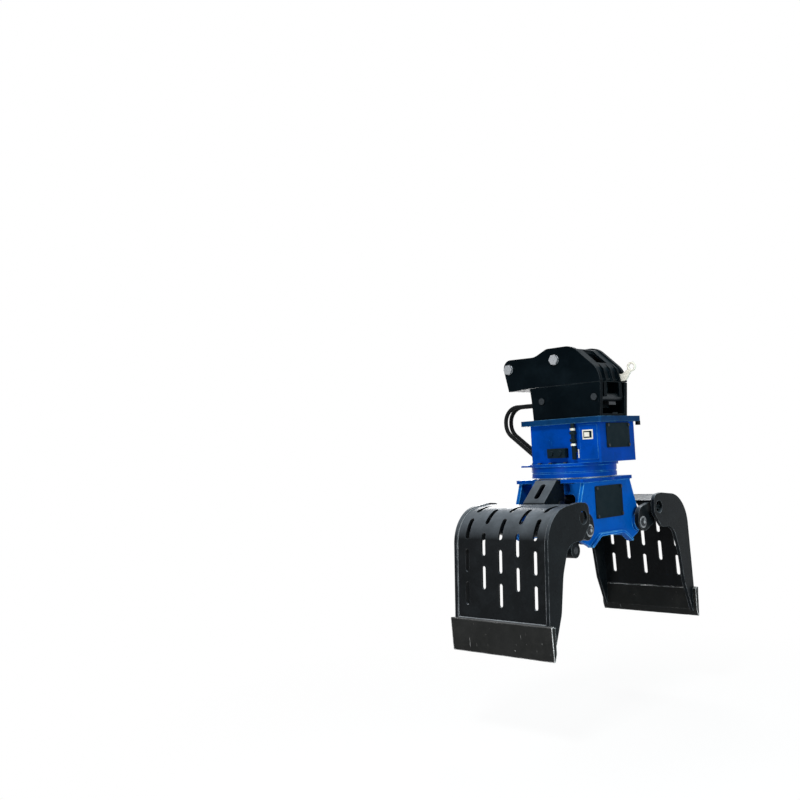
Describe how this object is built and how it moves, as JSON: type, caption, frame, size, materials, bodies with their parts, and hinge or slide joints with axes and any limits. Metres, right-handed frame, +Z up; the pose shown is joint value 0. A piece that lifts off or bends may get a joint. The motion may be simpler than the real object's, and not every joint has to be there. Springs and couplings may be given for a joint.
{
  "type": "demolition grapple",
  "caption": "Slewing demolition and sorting grapple with perforated shells, under a quick hitch with pins for an excavator arm.",
  "frame": {"origin": "centre of the arm pin, between the hitch's side plates", "axes": "+X along the arm pin, away from its head; -Y from the arm pin towards the tail of the hitch; +Z up along the slew axis"},
  "size_m": [1.5212, 0.794, 1.61],
  "materials": {
    "black_paint": "satin black",
    "hitch_paint": "satin near-black",
    "blue_paint": "gloss blue",
    "dark_cover": "matt dark grey",
    "pin_steel": "bright steel",
    "bolt_steel": "zinc-plated steel",
    "wear_steel": "bare wear plate",
    "pale_steel": "pale paint",
    "bronze": "machined bronze",
    "cast": "cast",
    "hose_rubber": "matt black rubber",
    "chrome_rod": "hard chrome"
  },
  "bodies": {
    "hitch": {"hitch_plates": "hitch_paint", "hitch_floor": "hitch_paint", "hitch_cross_tube": "hitch_paint", "hitch_cover": "hitch_paint", "hitch_ribs": "hitch_paint", "lifting_eye": "pale_steel", "front_claws": "hitch_paint", "rear_saddles": "hitch_paint", "lock_guide": "hitch_paint", "lock_cylinder": "black_paint", "bracket_plates": "hitch_paint", "bracket_pins": "bolt_steel", "bracket_floor": "hitch_paint", "bracket_bolts": "bolt_steel", "head_top_plate": "blue_paint", "head_box": "blue_paint", "head_rear_cover": "dark_cover", "head_side_cover": "blue_paint", "head_cover_bolts": "bolt_steel", "head_floor": "blue_paint", "slew_outer_ring": "blue_paint", "slew_ring_bolts": "bolt_steel", "slew_motor": "cast", "swivel_stator": "cast", "valve_block": "dark_cover", "valve_pipe": "dark_cover", "supply_hoses": "hose_rubber", "hose_fittings": "bolt_steel", "hose_bulkhead": "hitch_paint"},
    "arm_pin": {"arm_pin": "pin_steel"},
    "link_pin": {"link_pin": "pin_steel"},
    "lock_bar": {"lock_bar": "pin_steel"},
    "yoke": {"slew_gear_ring": "pin_steel", "swivel_rotor": "pin_steel", "yoke_flange": "blue_paint", "yoke_bolts": "bolt_steel", "yoke_plates": "blue_paint", "yoke_bushes": "bronze", "yoke_belly": "blue_paint", "yoke_webs": "blue_paint", "yoke_panels": "dark_cover", "panel_bolts": "bolt_steel", "hinge_pins": "pin_steel"},
    "rollers": {"slew_rollers": "pin_steel"},
    "pinion": {"slew_pinion": "pin_steel"},
    "right_shell": {"right_skin": "black_paint", "right_sides": "black_paint", "right_blade": "wear_steel", "right_ears": "black_paint", "right_lever": "black_paint", "right_pins": "pin_steel"},
    "left_shell": {"left_skin": "black_paint", "left_sides": "black_paint", "left_blade": "wear_steel", "left_ears": "black_paint", "left_lever": "black_paint", "left_pins": "pin_steel"},
    "barrel": {"cylinder_barrel": "black_paint", "cylinder_gland": "black_paint"},
    "rod": {"cylinder_rod": "chrome_rod"}
  },
  "joints": [
    {"name": "arm_pin_draw", "type": "slide", "parent": "hitch", "child": "arm_pin", "axis": [-1, 0, 0], "range_m": [0, 0.6]},
    {"name": "link_pin_draw", "type": "slide", "parent": "hitch", "child": "link_pin", "axis": [-1, 0, 0], "range_m": [0, 0.6]},
    {"name": "lock_slide", "type": "slide", "parent": "hitch", "child": "lock_bar", "axis": [0, 1, 0], "range_m": [0, 0.05]},
    {"name": "slew", "type": "hinge", "parent": "hitch", "child": "yoke", "pos_m": [0, -0.315, -0.612], "axis": [0, 0, 1], "continuous": true},
    {"name": "roller_orbit", "type": "hinge", "parent": "hitch", "child": "rollers", "pos_m": [0, -0.315, -0.612], "axis": [0, 0, 1], "continuous": true},
    {"name": "pinion_spin", "type": "hinge", "parent": "hitch", "child": "pinion", "pos_m": [0, -0.435, -0.612], "axis": [0, 0, 1], "continuous": true},
    {"name": "left_shell_swing", "type": "hinge", "parent": "yoke", "child": "left_shell", "pos_m": [-0.278, -0.315, -0.919], "axis": [0, -1, 0], "range_deg": [0, 58.9]},
    {"name": "right_shell_swing", "type": "hinge", "parent": "yoke", "child": "right_shell", "pos_m": [0.278, -0.315, -0.919], "axis": [0, -1, 0], "range_deg": [-58.9, 0]},
    {"name": "barrel_pivot", "type": "hinge", "parent": "left_shell", "child": "barrel", "pos_m": [-0.25, -0.315, -0.787], "axis": [0, -1, 0], "range_deg": [-58.9, 0]},
    {"name": "rod_pivot", "type": "hinge", "parent": "right_shell", "child": "rod", "pos_m": [0.25, -0.315, -0.787], "axis": [0, -1, 0], "range_deg": [0, 58.9]}
  ],
  "couplings": [
    {"joint": "roller_orbit", "follows": "slew", "ratio": 0.5},
    {"joint": "pinion_spin", "follows": "slew", "ratio": 4},
    {"joint": "right_shell_swing", "follows": "left_shell_swing", "ratio": -1},
    {"joint": "barrel_pivot", "follows": "left_shell_swing", "ratio": -1},
    {"joint": "rod_pivot", "follows": "left_shell_swing", "ratio": 1}
  ]
}
